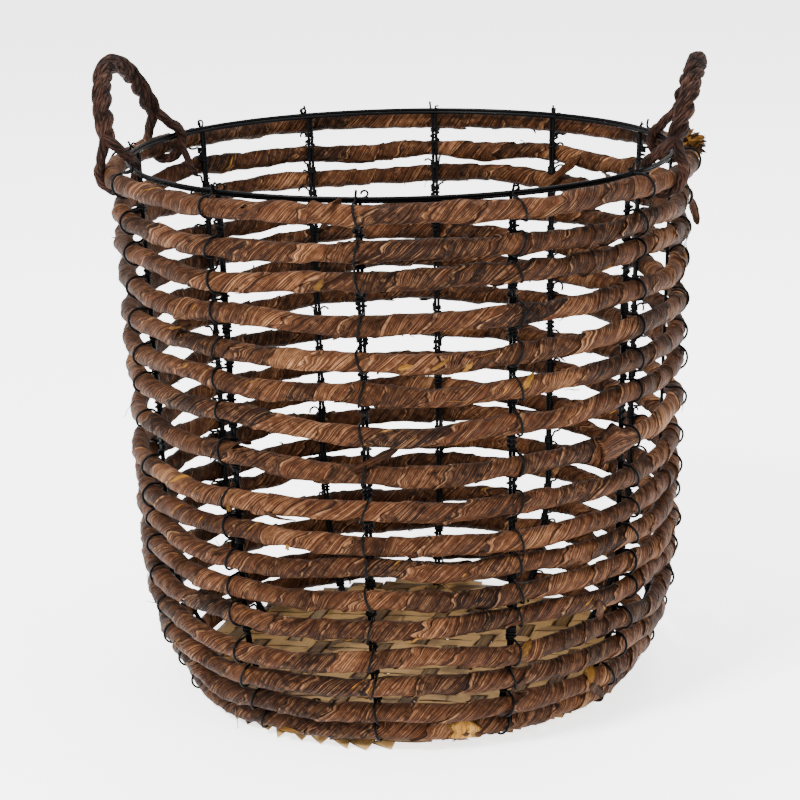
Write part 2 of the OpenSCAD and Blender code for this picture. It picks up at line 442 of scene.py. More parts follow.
@dataclass(frozen=True)
class BarkFinish:
    """Dried bark strips: streaky brown fibres along each strip, with painted shade at its edges.

    The pattern place is (strip number + place across the strip, turns along the strip).

    Attributes:
        name: The material's name.
        dark: Colour of the darkest fibres, and of the painted shade in the cracks and at the wrap edges.
        middle: Colour of most fibres.
        light: Colour of the pale, raised fibres with painted highlight on them, of the painted glints, and of
            the torn edges, which carry a painted highlight too.
        inner: Colour of the pale inner bark where the skin is rubbed off.
        fleck: How high the noise must rise before the inner bark shows; lower shows more of it.
    """

    name: str = "bark_wrap"
    dark: Colour = (0.0022, 0.0006, 0.0002)
    middle: Colour = (0.0275, 0.0090, 0.0030)
    light: Colour = (0.36, 0.180, 0.085)
    inner: Colour = (0.30, 0.13, 0.014)
    fleck: float = 0.70

    @staticmethod
    def fibres(
        b: Bench, strand: tuple[object, object, object], across: float, turns: float, seed: float
    ) -> bpy.types.NodeSocket:
        """Noise drawn out along a strip.

        Args:
            b: The material's bench.
            strand: Place across the strip, turns along it and the strip's number.
            across: Cells across the strip.
            turns: Cells in one turn along it.
            seed: Shift that tells one layer of fibres from another.

        Returns:
            The noise's value.
        """
        place, along, strip = strand
        x, y = b.maths("MULTIPLY", place, across), b.maths("MULTIPLY", along, turns)
        return b.noise(b.vector(x, y, b.maths("ADD", strip, seed)), 1.0, 2.0)

    def build(self) -> bpy.types.Material:
        """Makes the material.

        The shade is a weighted sum of fine, hair-thin and broad fibres, each strip's own tone, clouds and
        blotches; as the fibres share the bump, it is real streaks plus painted highlight on the raised fibres
        and painted shade between them. Painted glints, painted shade in the cracks, torn edges with a painted
        highlight, painted shade at the wrap edges and flecks of inner bark lie over it.
        """
        b = Bench(self.name)
        u, v, _ = b.split(b.place())
        across = b.maths("FRACT", u)
        strip = b.maths("FLOOR", u)
        along = b.maths("ADD", strip, v)
        strand = (across, along, strip)
        fine = self.fibres(b, strand, 34.0, 0.7, 0.0)
        hairs = self.fibres(b, strand, 68.0, 1.4, 0.4)
        broad = self.fibres(b, strand, 6.0, 0.8, 0.7)
        glint = b.band(self.fibres(b, strand, 84.0, 1.1, 0.2), 0.54, 0.63)
        shaded_crack = b.band(self.fibres(b, strand, 44.0, 0.6, 0.9), 0.60, 0.66)
        tone = b.chance(b.vector(strip, 3.0))
        place = b.place(object_space=True)
        cloud = b.noise(place, 16.0, 2.0)
        grit = b.noise(place, 420.0, 1.0)
        blotch = b.noise(place, 210.0, 2.0)
        glint = b.maths("MULTIPLY", glint, b.band(blotch, 0.36, 0.62))
        value = b.maths("MULTIPLY_ADD", fine, 0.40, b.maths("MULTIPLY", broad, 0.10))
        value = b.maths("MULTIPLY_ADD", hairs, 0.42, value)
        value = b.maths("MULTIPLY_ADD", tone, 0.16, value)
        value = b.maths("MULTIPLY_ADD", cloud, 0.26, value)
        value = b.maths("MULTIPLY_ADD", blotch, 0.08, value)
        value = b.maths("SUBTRACT", value, 0.238)
        # The fibres that the bump raises come out lighter and the low ones darker: real streaks and tone,
        # with painted highlight on the raised fibres and painted shade between them.
        streak_and_highlight = tuple(2.3 * k for k in self.middle)
        colour = b.ramp(value, [(0.34, self.dark), (0.47, self.middle), (0.57, streak_and_highlight), (0.72, self.light)])
        # Painted highlight: thin light glints along the fibres, painted into the colour and gated by the
        # blotches.
        colour = b.mix(b.maths("MULTIPLY", glint, 0.38), colour, self.light)
        # Painted shade in the cracks: the dark colour where the crack noise rises, where the bump sinks too.
        colour = b.mix(b.maths("MULTIPLY", shaded_crack, 0.80), colour, self.dark)
        # A thin light band just inside each wrap's raised leading edge: the torn edge's own pale colour
        # together with a painted highlight on the raised edge.
        torn = b.maths("MULTIPLY", b.band(across, 0.020, 0.034), b.band(across, 0.080, 0.050))
        torn = b.maths("MULTIPLY", torn, b.band(blotch, 0.40, 0.60, 0.03, 0.36))
        colour = b.mix(torn, colour, self.light)
        # Painted shade: the colour darkens over the outer fiftieth of each strip at both sides, in the crease
        # where one wrap meets the next.
        edge = b.maths("MINIMUM", b.band(across, 0.0, 0.020), b.band(across, 1.0, 0.976))
        colour = b.mix(b.maths("MULTIPLY_ADD", edge, -0.8, 0.8), colour, self.dark)
        patch = b.vector(b.maths("MULTIPLY", across, 3.5), b.maths("MULTIPLY", along, 1.5), 7.0)
        spots = b.noise(patch, 1.0, 3.0)
        fleck = b.band(b.maths("MULTIPLY_ADD", fine, 0.16, spots), self.fleck + 0.08, self.fleck + 0.13)
        colour = b.mix(b.maths("MULTIPLY", fleck, 0.85), colour, self.inner)
        height = b.maths("MULTIPLY_ADD", broad, 0.5, b.maths("MULTIPLY_ADD", grit, 0.12, fine))
        height = b.maths("MULTIPLY_ADD", hairs, 0.5, b.maths("MULTIPLY_ADD", shaded_crack, -0.35, height))
        b.bump(b.maths("MULTIPLY_ADD", edge, 0.3, height), 0.0026)
        roughness = b.band(fine, 0.3, 0.75, 0.66, 0.46)
        return b.dress(Base_Color=colour, Roughness=roughness, Specular_IOR_Level=0.06)


@dataclass(frozen=True)
class WireFinish:
    """Satin black coated wire with a few scuffs.

    Attributes:
        name: The material's name.
        coat: Colour of the coating.
        scuff: Colour where it is worn.
        roughness: Its mean roughness.
    """

    name: str
    coat: Colour = (0.0012, 0.0012, 0.0014)
    scuff: Colour = (0.006, 0.005, 0.0045)
    roughness: float = 0.30

    def build(self) -> bpy.types.Material:
        """Makes the material."""
        b = Bench(self.name)
        place = b.place(object_space=True)
        wear = b.noise(place, 140.0, 3.0)
        mark = b.band(wear, 0.62, 0.74)
        b.bump(b.noise(place, 900.0, 2.0), 0.00012)
        rough = b.band(b.noise(place, 60.0, 2.0), 0.3, 0.7, self.roughness - 0.06, self.roughness + 0.12)
        colour = b.mix(mark, self.coat, self.scuff)
        return b.dress(Base_Color=colour, Roughness=rough, Specular_IOR_Level=0.05)


@dataclass(frozen=True)
class RopeFinish:
    """Dark twisted bark rope: dull ridged fibres along each strand.

    Attributes:
        name: The material's name.
        dark: Colour between the fibres.
        middle: Colour of most fibres.
        light: Colour of the rubbed fibres.
        fibre_cells: Noise cells in the strand's radius and in one unit along it.
    """

    name: str = "bark_rope"
    dark: Colour = (0.0012, 0.0004, 0.0002)
    middle: Colour = (0.0115, 0.0037, 0.0018)
    light: Colour = (0.062, 0.027, 0.017)
    fibre_cells: tuple[float, float] = (3.6, 2.2)

    def build(self) -> bpy.types.Material:
        """Makes the material."""
        b = Bench(self.name)
        u, v, _ = b.split(b.place())
        lay = b.maths("MULTIPLY_ADD", v, 0.25, u)
        turn = b.maths("MULTIPLY", lay, 2 * math.pi)
        round_cells, long_cells = self.fibre_cells
        x = b.maths("MULTIPLY", b.maths("COSINE", turn), round_cells)
        y = b.maths("MULTIPLY", b.maths("SINE", turn), round_cells)
        fibre = b.noise(b.vector(x, y, b.maths("MULTIPLY", v, long_cells)), 1.0, 5.0)
        cloud = b.noise(b.place(object_space=True), 60.0, 2.0)
        value = b.maths("MULTIPLY_ADD", cloud, 0.3, b.maths("MULTIPLY", fibre, 0.8))
        colour = b.ramp(value, [(0.42, self.dark), (0.54, self.middle), (0.70, self.light)])
        b.bump(b.maths("MULTIPLY_ADD", fibre, 1.0, b.maths("MULTIPLY", cloud, 0.3)), 0.006)
        rough = b.band(fibre, 0.3, 0.7, 0.78, 0.5)
        return b.dress(Base_Color=colour, Roughness=rough, Specular_IOR_Level=0.07)


@dataclass(frozen=True)
class BambooFinish:
    """Split bamboo and bark strips: long fine grain, each strip its own tan, brown or grey.

    Attributes:
        name: The material's name.
        tan: Colour of most strips.
        brown: Colour of the bark strips, of the nodes and of stains.
        grey: Colour of the few weathered strips.
        odd_brown: How brown every second strip is, 0 to 1.
    """

    name: str = "split_bamboo"
    tan: Colour = (0.25, 0.145, 0.052)
    brown: Colour = (0.022, 0.0085, 0.0026)
    grey: Colour = (0.12, 0.085, 0.050)
    odd_brown: float = 0.0

    def build(self) -> bpy.types.Material:
        """Makes the material."""
        b = Bench(self.name)
        u, v, _ = b.split(b.place())
        across = b.maths("FRACT", u)
        strip = b.maths("FLOOR", u)
        grain = b.noise(
            b.vector(b.maths("MULTIPLY", across, 16.0), b.maths("MULTIPLY", v, 0.9), strip), 1.0, 3.0
        )
        tone = b.chance(b.vector(strip, 9.0))
        odd = b.maths("MULTIPLY", b.maths("MODULO", strip, 2.0), self.odd_brown)
        base = b.mix(b.maths("MAXIMUM", odd, b.band(tone, 0.84, 0.90)), self.tan, self.brown)
        base = b.mix(b.band(tone, 0.94, 0.97), base, self.grey)
        base = b.mix(b.band(grain, 0.35, 0.72, 0.0, 0.30), base, tuple(1.7 * k for k in self.tan))
        stain = b.noise(b.place(object_space=True), 34.0, 3.0)
        base = b.mix(b.band(stain, 0.46, 0.68, 0.0, 0.7), base, self.brown)
        node = b.maths("PINGPONG", b.maths("ADD", v, b.maths("MULTIPLY", tone, 9.0)), 2.4)
        ring = b.band(node, 0.05, 0.0)
        edge = b.maths("MINIMUM", b.band(across, 0.07, 0.17), b.band(across, 0.93, 0.83))
        ring = b.maths("MAXIMUM", ring, b.maths("SUBTRACT", 1.0, edge))
        base = b.mix(b.maths("MULTIPLY", ring, 0.7), base, self.brown)
        b.bump(b.maths("MULTIPLY_ADD", ring, -0.5, grain), 0.0005)
        return b.dress(Base_Color=base, Roughness=b.band(grain, 0.3, 0.7, 0.62, 0.45), Specular_IOR_Level=0.2)


# ---------------------------------------------------------------- bark wall


@dataclass(frozen=True)
class Lift:
    """Millimetres by which a coil rises at the staves.

    Attributes:
        front_left: At the front left stave.
        front: At the front stave.
        front_right: At the front right stave.
        back: At the back stave, and four fifths of it at the next.
        rest: Mean rise at all the other staves.
        loose: Spread of the rise at those.
    """

    front_left: float = 0.0
    front: float = 0.0
    front_right: float = 0.0
    back: float = 0.0
    rest: float = 0.0
    loose: float = 1.6

    def at_staves(self, rng: np.random.Generator) -> np.ndarray:
        """Lifts at all staves, counter-clockwise from the right handle.

        Args:
            rng: Seeded source of numbers.

        Returns:
            One lift for each stave.
        """
        lifts = self.rest + rng.normal(0, self.loose, STAVES)
        lifts[8:11] = self.front_left, self.front, self.front_right
        lifts[3:5] = self.back, self.back * 0.8
        return lifts


class Coil:
    """The line of one coil, from its CAD ring: a hoop that wavers up, down, in and out."""

    LOWEST = 2.4  # millimetres from the floor to the underside of the base coil

    def __init__(self, number: int, lift: Lift) -> None:
        """Reads the ring's size and draws the hoop's waves.

        Args:
            number: The coil's number, 1 at the base.
            lift: Its height at the staves.
        """
        rng = np.random.default_rng(700 + number)
        low, high = (np.array(corner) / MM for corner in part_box(f"bark_coil_{number:02d}"))
        self.number = number
        self.tube = (high[2] - low[2]) / 2
        self.radius = (high[0] - low[0]) / 2 - self.tube
        self.height = (high[2] + low[2]) / 2
        self.lifts = lift.at_staves(rng)
        self.sway = Ripple(rng, 4, 13, 12)
        self.bow = Ripple(rng, 5, 16, 10)
        self.swell = Ripple(rng, 9, 34, 16)
        rim = number == COILS
        self.sway_mm = 0.5 if rim or number == 1 else 1.15
        self.bow_mm = 0.6
        self.bulge_mm = 3.0 if rim else 0.0

    def lift_at(self, angle: np.ndarray) -> np.ndarray:
        """A smooth curve through the lifts at the staves: a cubic through four neighbours."""
        place = np.asarray(angle) / (2 * np.pi) * STAVES
        k = np.floor(place).astype(int)
        f = place - k
        a, b, c, d = (self.lifts[(k + n) % STAVES] for n in (-1, 0, 1, 2))
        return b + 0.5 * f * (c - a + f * (2 * a - 5 * b + 4 * c - d + f * (3 * (b - c) + d - a)))

    def centre(self, angle: np.ndarray) -> tuple[np.ndarray, np.ndarray]:
        """Radius and height of the coil's middle: the ring's, plus waves and the bulge at the handles.

        Args:
            angle: Angles round the basket.

        Returns:
            Radii and heights.
        """
        radius = self.radius + self.bow_mm * self.bow(angle) + self.bulge_mm * np.cos(angle) ** 4
        height = self.height + self.lift_at(angle) + self.sway_mm * self.sway(angle)
        return radius, np.maximum(height, self.tube + self.LOWEST)

    def half_height(self, angle: np.ndarray) -> np.ndarray:
        """Half the coil's height, which swells and narrows along it."""
        return self.tube * (1.05 + 0.065 * np.clip(self.swell(angle), -2.2, 2.2))


@dataclass
class BarkWall:
    """The seventeen coils, each wrapped in bark strips wound at a slant.

    Attributes:
        strip_pitch: Distance along a coil from one wrap to the next.
        cells_per_strip: Grid cells across one wrap.
        cells_round: Grid cells round a coil.
        wrap_step: How far the edge of a wrap stands up.
        wrinkle: Height of the wrinkles along a wrap.
        ragged: How far a wrap's edge wanders, as a share of the pitch.
    """

    strip_pitch: float = 34.0
    cells_per_strip: int = 20
    cells_round: int = 28
    wrap_step: float = 0.80
    wrinkle: float = 0.16
    ragged: float = 0.075

    def __post_init__(self) -> None:
        """Lays out the coils, base first."""
        lifts = [
            Lift(-3, 1, 0, 0), Lift(-2, 1, 2, -3), Lift(-2, 1, 2, -4), Lift(-4, 2, 3, -3), Lift(-3, 0, 2, 0),
            Lift(-2, 1, 1, -1), Lift(-1, 2, -1, 0), Lift(3, -1, -2, 5), Lift(-1, 0, -2, 3),
            Lift(3, -4, -4, 2), Lift(3, -5, -5, 2), Lift(0, -2, -2, 6), Lift(0, -4, -2, 6),
            Lift(0, 0, 1, -1), Lift(-5, 0, 3, 1), Lift(-3, 1, 1, 1),
            Lift(-1.6, -1.8, -1.8, -2, -1.7, 0.3),
        ]
        self.coils = [Coil(number + 1, lift) for number, lift in enumerate(lifts)]

    def wrap(self, coil: Coil) -> Surface:
        """One coil as a closed grid sheared along the wraps, so that a wrap's edge runs along grid lines.

        A grid point is at phase X = strip + place across, and turn share V. Its angle round the basket is
        that of X + V wraps of uneven width, so going once round the coil moves on by one strip. Its distance
        from the coil's middle is the coil's own size, plus the wrap's step times (1 - place across) squared,
        plus wrinkles that follow the strip.

        Args:
            coil: The coil's line.

        Returns:
            The closed surface.
        """
        rng = np.random.default_rng(90 + coil.number)
        strips = int(round(2 * np.pi * coil.radius / self.strip_pitch))
        cells, rounds = self.cells_per_strip, self.cells_round
        across = np.linspace(0, 0.975, cells)
        phase = (np.arange(strips)[:, None] + across).ravel()
        share = np.arange(rounds) / rounds
        x, v = np.meshgrid(phase, share, indexing="ij")
        strip, place = np.floor(x), x - np.floor(x)
        along = strip + v
        edge = np.maximum((1 - place) ** 5, place**30)
        torn = self.strip_noise(rng, strips, along, np.zeros_like(along), 11, 1)
        starts = np.append(0, np.cumsum(rng.uniform(0.45, 1.55, strips)))
        count = x + v + self.ragged * torn * edge
        whole = np.floor(count / strips)
        part = np.interp(count - whole * strips, np.arange(strips + 1), starts / starts[-1])
        angle = 2 * np.pi * (whole + part)
        turn = 2 * np.pi * v - 0.75 * np.pi
        lumps = Ripple(rng, 20, 90, 26, slant=3)(angle, turn)
        wrinkles = self.strip_noise(rng, strips, along, place, 2, 10)
        tall = self.strip_noise(rng, strips, along, np.zeros_like(along), 1, 1)
        step = self.wrap_step * np.clip(1 + 0.9 * tall, 0.1, 2.6) * (1 - place) ** 2
        inner = 1 - 0.75 * np.clip(-np.cos(turn), 0, 1)
        relief = (step + self.wrinkle * wrinkles + 0.22 * lumps) * inner
        radius, height = coil.centre(angle)
        out = (coil.tube * 0.985 + relief) * np.cos(turn)
        up = (coil.half_height(angle) + relief) * np.sin(turn)
        reach = radius + out
        points = np.stack([reach * np.cos(angle), reach * np.sin(angle), height + up], -1).reshape(-1, 3)
        rows = strips * cells
        i, j = (k.ravel() for k in np.meshgrid(np.arange(rows), np.arange(rounds), indexing="ij"))
        i2, j2 = i + 1, j + 1
        on_a_wrap = np.where(j2 == rounds, cells, 0)
        j2w = j2 % rounds

        def index(row: np.ndarray, column: np.ndarray) -> np.ndarray:
            """Point numbers, with rows counted round the basket."""
            return (row % rows) * rounds + column

        near, far = index(i + on_a_wrap, j2w), index(i2 + on_a_wrap, j2w)
        quads = np.stack([index(i, j), index(i2, j), far, near], 1)
        ends = np.append(phase, strips) + 64 * coil.number
        ends_next = np.where((i + 1) % cells == 0, np.floor(ends[i]) + 0.999, ends[np.minimum(i + 1, rows)])
        turns, turns_next = j / rounds, (j + 1) / rounds
        quad_uv = np.stack(
            [
                np.stack([ends[i], turns], -1),
                np.stack([ends_next, turns], -1),
                np.stack([ends_next, turns_next], -1),
                np.stack([ends[i], turns_next], -1),
            ],
            1,
        )
        return Surface(points, quads, np.zeros((0, 3), int), quad_uv, np.zeros((0, 3, 2))).outward()

    @staticmethod
    def strip_noise(
        rng: np.random.Generator, strips: int, along: np.ndarray, place: np.ndarray, per_turn: int, knots: int
    ) -> np.ndarray:
        """Random heights that follow the strips: straight lines between knots along and across them.

        Args:
            rng: Seeded source of numbers.
            strips: Wraps in the coil.
            along: Turns along the strip.
            place: Place across the strip, 0 to 1.
            per_turn: Knots in one turn along the strip.
            knots: Knots across the strip.

        Returns:
            Heights of about rms 0.7, shaped like along.
        """
        table = rng.normal(0, 1, (strips * per_turn, knots + 1))
        row = along * per_turn
        column = place * knots
        r0, c0 = np.floor(row).astype(int), np.minimum(np.floor(column).astype(int), knots - 1)
        fr, fc = row - r0, column - c0
        fr, fc = fr * fr * (3 - 2 * fr), fc * fc * (3 - 2 * fc)
        r0, r1 = r0 % len(table), (r0 + 1) % len(table)
        first = table[r0, c0] * (1 - fr) + table[r1, c0] * fr
        second = table[r0, c0 + 1] * (1 - fr) + table[r1, c0 + 1] * fr
        return first * (1 - fc) + second * fc

    def build(self, bark: bpy.types.Material) -> None:
        """Makes the seventeen coils, each in place of its CAD ring."""
        for coil in self.coils:
            piece = self.wrap(coil).piece(f"wrapped_coil_{coil.number:02d}", bark, Slot.BARK, "basket")
            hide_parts(f"bark_coil_{coil.number:02d}")


# ---------------------------------------------------------------- ties


@dataclass
class TieLashing:
    """The thin black wires that lash the coils to the staves, one down each stave.

    Attributes:
        wall: The coils that the wires lash.
        wire_r: Radius of the tie wire.
        stave_inset: Distance from a coil's middle in to the stave's.
        stave_half_width: Half of a doubled stave's width.
        stave_half_depth: Half of its depth.
        stations: Points along one wire.
        knot_turns: Close turns under each coil.
        knot_height: Height of those turns.
        slack_turns: Turns that a wire may take on its way to the next coil.
        curl_share: Share of the knots that have a loose end.
    """

    wall: BarkWall
    wire_r: float = 0.92
    stave_inset: float = 8.9
    stave_half_width: float = 2.9
    stave_half_depth: float = 1.4
    stations: int = 2500
    knot_turns: float = 2.0
    knot_height: float = 3.4
    slack_turns: tuple[float, ...] = (1.5, 2.0, 3.0)
    curl_share: float = 0.55

    def wall_line(self) -> tuple[np.ndarray, np.ndarray, np.ndarray]:
        """Middles of the CAD rings in the wall's section, and the section's directions out and up.

        Returns:
            Middles, unit vectors out of the wall, and unit vectors up the wall, each 17 by 2.
        """
        middles = np.array([[c.radius, c.height] for c in self.wall.coils])
        shown = middles.copy()
        shown[-1, 0] = middles[-2, 0] + (middles[-2, 0] - middles[-3, 0])
        up = unit(np.gradient(shown, axis=0))
        return middles, np.stack([up[:, 1], -up[:, 0]], 1), up

    def lashing(self, stave: int, rng: np.random.Generator) -> tuple[np.ndarray, np.ndarray]:
        """One wire from the rim down, in the stave's own frame: out, sideways, up.

        Over a coil the wire follows a round about the coil's middle. Between coils it winds down the
        stave, with two close turns under each coil and a slack turn after them.

        Args:
            stave: The stave's number, 0 at the right handle.
            rng: Seeded source of numbers.

        Returns:
            The path, and the places of the knots under the coils.
        """
        angle = stave * 2 * np.pi / STAVES
        middles, out, up = self.wall_line()
        runs, knots = [], []
        wide = self.stave_half_width + self.wire_r
        deep = self.stave_half_depth + self.wire_r
        for k in range(COILS - 1, -1, -1):
            coil = self.wall.coils[k]
            radius, height = coil.centre(np.array(angle))
            middle = np.array([radius, height])
            stave_at = middles[k] - self.stave_inset * out[k]
            lean = rng.choice([-1, 1]) * rng.uniform(0.3, 1.0)
            bend = np.linspace(np.radians(118), np.radians(-118), 26)
            tall = coil.half_height(np.array(angle)) + self.wire_r + rng.uniform(0.3, 0.9)
            deep_out = coil.tube + self.wire_r + 0.7 + rng.uniform(0.0, 1.1)
            flat = (deep_out * np.cos(bend))[:, None] * out[k] + (tall * np.sin(bend))[:, None] * up[k]
            side = wide * lean * np.sin(bend) * 0.9 + rng.normal(0, 0.5)
            over = np.stack([middle[0] + flat[:, 0], side, middle[1] + flat[:, 1]], 1)
            runs.append(over)
            drop = stave_at - (coil.tube + 1.6) * up[k]
            start = math.atan2(over[-1, 1], -1.0)
            turns = np.linspace(0, 2 * np.pi * self.knot_turns, 34)
            sunk = drop[None] - (np.linspace(0, self.knot_height, 34))[:, None] * up[k]
            runs.append(self.wind(sunk, out[k], start + turns * np.sign(lean), wide, deep))
            knots.append(np.array([drop[0], 0.0, drop[1] - 1.5]))
            if k:
                lower = self.wall.coils[k - 1]
                below = middles[k - 1] - self.stave_inset * out[k - 1] + (lower.tube + 1.0) * up[k - 1]
                way = np.linspace(0, 1, 44)[1:-1]
                line = sunk[-1] + (below - sunk[-1]) * way[:, None]
                slack = 1 + 0.10 * np.sin(np.pi * way)
                spin = start + (turns[-1] + way * 2 * np.pi * rng.choice(self.slack_turns)) * np.sign(lean)
                runs.append(self.wind(line, out[k], spin, wide * slack, deep * slack))
        path = np.concatenate(runs)
        top = path[0] + np.array([[-2.0, 1.0, 9.0], [-3.5, 0.5, 6.0], [-4.0, 0.0, 2.0]])
        path = resample(np.concatenate([top, path]), self.stations)
        kernel = np.hanning(11) / np.hanning(11).sum()
        padded = np.pad(path, ((5, 5), (0, 0)), mode="edge")
        path = np.stack([np.convolve(padded[:, k], kernel, "valid") for k in range(3)], 1)
        return path, np.array(knots)

    @staticmethod
    def wind(line: np.ndarray, out: np.ndarray, spin: np.ndarray, wide: object, deep: object) -> np.ndarray:
        """Turns round a line in the section: sideways by wide * sin(spin), out by -deep * cos(spin).

        Args:
            line: n points of the line, each a radius and a height.
            out: The section's direction out of the wall.
            spin: n angles of the turns.
            wide: Reach sideways.
            deep: Reach in and out.

        Returns:
            n points: out, sideways, up.
        """
        inward = -deep * np.cos(spin)
        return np.stack([line[:, 0] + inward * out[0], wide * np.sin(spin), line[:, 1] + inward * out[1]], 1)

    def curls(self, knots: np.ndarray, rng: np.random.Generator) -> list[Surface]:
        """Loose ends of wire at some of the knots: arcs that start at the knot and swing clear of it.

        Args:
            knots: The knots' places.
            rng: Seeded source of numbers.

        Returns:
            One short wire for each loose end.
        """
        made = []
        for knot in knots:
            if rng.random() > self.curl_share:
                continue
            bend_r = rng.uniform(2.2, 5.0)
            sweep = np.linspace(0, rng.uniform(1.2, 4.4), 18)
            hand = rng.choice([-1, 1])
            tilt = rng.uniform(-0.6, 1.0)
            arc = np.stack(
                [
                    bend_r * 0.5 * np.sin(sweep) + 0.6 * sweep,
                    hand * (2.6 + bend_r * (1 - np.cos(sweep))),
                    bend_r * np.sin(sweep) * np.cos(tilt) + 1.2 * sweep * np.sin(tilt),
                ],
                1,
            )
            guide = np.broadcast_to(np.array([1.0, 0.15, 0.1]), arc.shape)
            radius = np.full(len(arc), self.wire_r * 0.9)
            made.append(tube(knot + arc, guide, radius, np.linspace(0, 1, len(arc)), 6))
        return made

    def rim_curls(self, rng: np.random.Generator) -> list[Surface]:
        """One or two loose loops over the rim wires: rounds that start at the wire and open as they go.

        Args:
            rng: Seeded source of numbers.

        Returns:
            One short wire for each loop.
        """
        made = []
        _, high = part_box("rim_wire_upper")
        start = np.array([high[0] / MM - 1.5, 0.0, high[2] / MM])
        for _ in range(int(rng.integers(1, 3))):
            sweep = np.linspace(0, rng.uniform(2.6, 6.0), 26)
            bend_r = rng.uniform(1.8, 3.4) * (1 + 0.06 * sweep)
            heading = rng.uniform(-1.2, 1.2)
            flat = bend_r * np.sin(sweep)
            rise = bend_r * (1 - np.cos(sweep)) * rng.uniform(0.5, 1.0)
            side = flat * math.cos(heading) + rng.uniform(-4, 4) + 0.5 * sweep
            path = start + np.stack([flat * math.sin(heading) + 0.25 * rise, side, rise - 0.6], 1)
            guide = np.broadcast_to(np.array([0.4, 0.3, 1.0]), path.shape)
            radius = np.full(len(path), self.wire_r * 0.85)
            made.append(tube(path, guide, radius, np.linspace(0, 1, len(path)), 6))
        return made

    @staticmethod
    def turned(surface: Surface, angle: float) -> Surface:
        """A surface from the stave's frame, turned to the stave's place round the basket."""
        c, s = math.cos(angle), math.sin(angle)
        spin = np.array([[c, s, 0], [-s, c, 0], [0, 0, 1]])
        return Surface(surface.points @ spin, surface.quads, surface.tris, surface.quad_uv, surface.tri_uv)

    def guides(self, paths: np.ndarray) -> np.ndarray:
        """Side vectors carried along all the wires together, square to each wire and never spinning round it.

        Args:
            paths: The wires, each with as many points.

        Returns:
            One side vector for each point.
        """
        direction = np.stack([tangents(p) for p in paths])
        side = np.zeros_like(paths)
        side[:, 0] = unit(np.cross(direction[:, 0], np.array([0.31, 0.77, 0.55])))
        for station in range(1, paths.shape[1]):
            ahead = direction[:, station]
            kept = side[:, station - 1]
            side[:, station] = unit(kept - (kept * ahead).sum(1, keepdims=True) * ahead)
        return side

    def build(self, finish: bpy.types.Material) -> None:
        """Makes the twelve lashings, each in place of its CAD loops."""
        rngs = [np.random.default_rng(400 + k) for k in range(STAVES)]
        lashings = [self.lashing(k, rng) for k, rng in enumerate(rngs)]
        sides = self.guides(np.stack([path for path, _ in lashings]))
        for k, (path, knots) in enumerate(lashings):
            radius = np.full(len(path), self.wire_r)
            wire = tube(path, sides[k], radius, np.linspace(0, 40, len(path)), 7)
            joined = Surface.join([wire, *self.curls(knots, rngs[k]), *self.rim_curls(rngs[k])])
            joined = self.turned(joined, k * 2 * np.pi / STAVES)
            piece = joined.piece(f"lashing_{k + 1:02d}", finish, Slot.TIE_WIRE, "basket")
            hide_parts(f"tie_wire_{k + 1:02d}")


# ---------------------------------------------------------------- base mat


